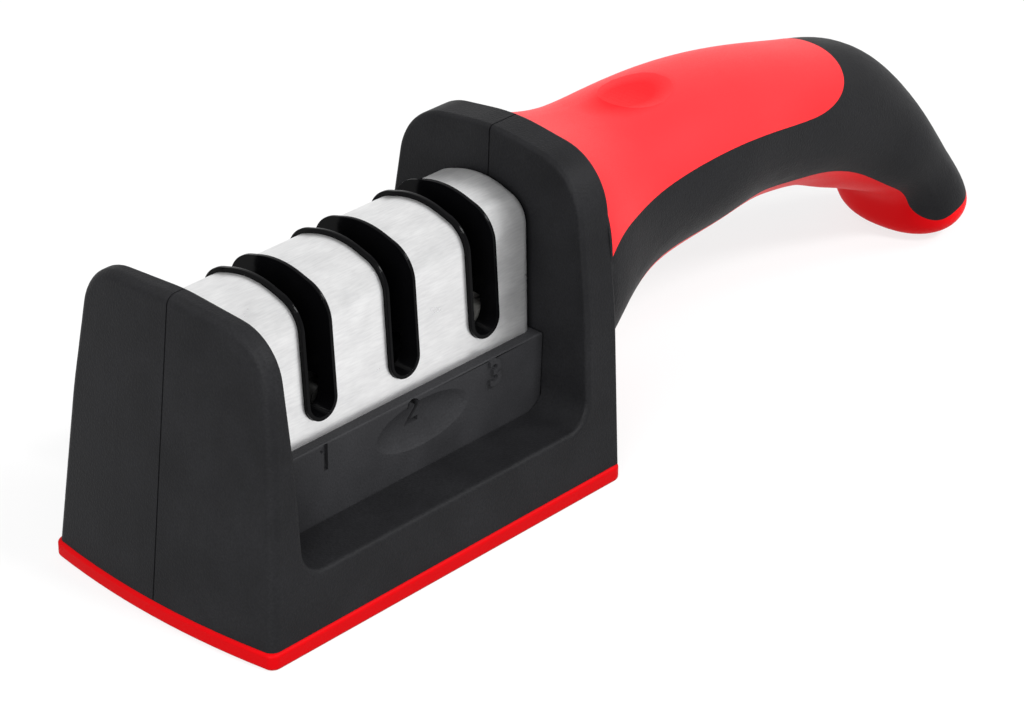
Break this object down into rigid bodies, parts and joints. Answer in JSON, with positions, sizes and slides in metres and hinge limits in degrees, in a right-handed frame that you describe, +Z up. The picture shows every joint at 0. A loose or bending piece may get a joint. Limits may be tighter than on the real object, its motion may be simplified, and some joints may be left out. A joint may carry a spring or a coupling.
{
  "type": "knife sharpener",
  "caption": "Manual pull-through knife sharpener with three numbered knife slots in a steel-covered lift-out cartridge, a soft-grip arched handle and an anti-slip sole.",
  "frame": {"origin": "on the flat resting face of the sole, on the seam plane, midway between the body's front corners and the back of the arch at the sole", "axes": "+Z up from the resting face, +X along the sharpener from the front pillar towards the handle, Y along the knife slots"},
  "size_m": [0.1994, 0.051, 0.0586],
  "materials": {
    "black_body": "fine-grained charcoal black ABS, satin to matte",
    "inner_plastic": "plain black moulded plastic",
    "red_sole": "bright red soft rubber, satin",
    "red_grip": "coral red soft-touch thermoplastic rubber, satin",
    "screw_steel": "zinc-bright steel",
    "brushed_cover": "bright satin stainless steel sheet",
    "gloss_liner": "polished jet black plastic",
    "diamond_grit": "nickel with bonded diamond grit",
    "white_ceramic": "fired white alumina, unglazed",
    "carbide": "ground tungsten carbide"
  },
  "bodies": {
    "body": {"left_shell": "black_body", "right_shell": "black_body", "base_plate": "inner_plastic", "sole": "red_sole", "top_grip": "red_grip", "lower_grip": "red_grip", "case_screws": "screw_steel", "base_screws": "screw_steel"},
    "cartridge": {"cartridge_housing": "black_body", "cartridge_base": "inner_plastic", "cartridge_screws": "screw_steel", "steel_cover": "brushed_cover", "slot_guide_1": "gloss_liner", "slot_guide_2": "gloss_liner", "slot_guide_3": "gloss_liner", "diamond_axle_front": "screw_steel", "diamond_axle_rear": "screw_steel", "ceramic_axle_front": "screw_steel", "ceramic_axle_rear": "screw_steel", "carbide_blade_front": "carbide", "carbide_blade_rear": "carbide", "blade_holder": "inner_plastic", "blade_pin": "screw_steel"},
    "diamond_front": {"diamond_wheel_front": "diamond_grit"},
    "diamond_rear": {"diamond_wheel_rear": "diamond_grit"},
    "ceramic_front": {"ceramic_wheel_front": "white_ceramic"},
    "ceramic_rear": {"ceramic_wheel_rear": "white_ceramic"}
  },
  "joints": [
    {"name": "cartridge_lift", "type": "slide", "parent": "body", "child": "cartridge", "axis": [0, 0, 1], "range_m": [0, 0.055]},
    {"name": "diamond_front_spin", "type": "hinge", "parent": "cartridge", "child": "diamond_front", "pos_m": [-0.01936, 0, 0.03023], "axis": [0, 1, 0], "continuous": true},
    {"name": "diamond_rear_spin", "type": "hinge", "parent": "cartridge", "child": "diamond_rear", "pos_m": [-0.01184, 0, 0.03023], "axis": [0, 1, 0], "continuous": true},
    {"name": "ceramic_front_spin", "type": "hinge", "parent": "cartridge", "child": "ceramic_front", "pos_m": [0.01754, 0, 0.03023], "axis": [0, 1, 0], "continuous": true},
    {"name": "ceramic_rear_spin", "type": "hinge", "parent": "cartridge", "child": "ceramic_rear", "pos_m": [0.02506, 0, 0.03023], "axis": [0, 1, 0], "continuous": true}
  ]
}
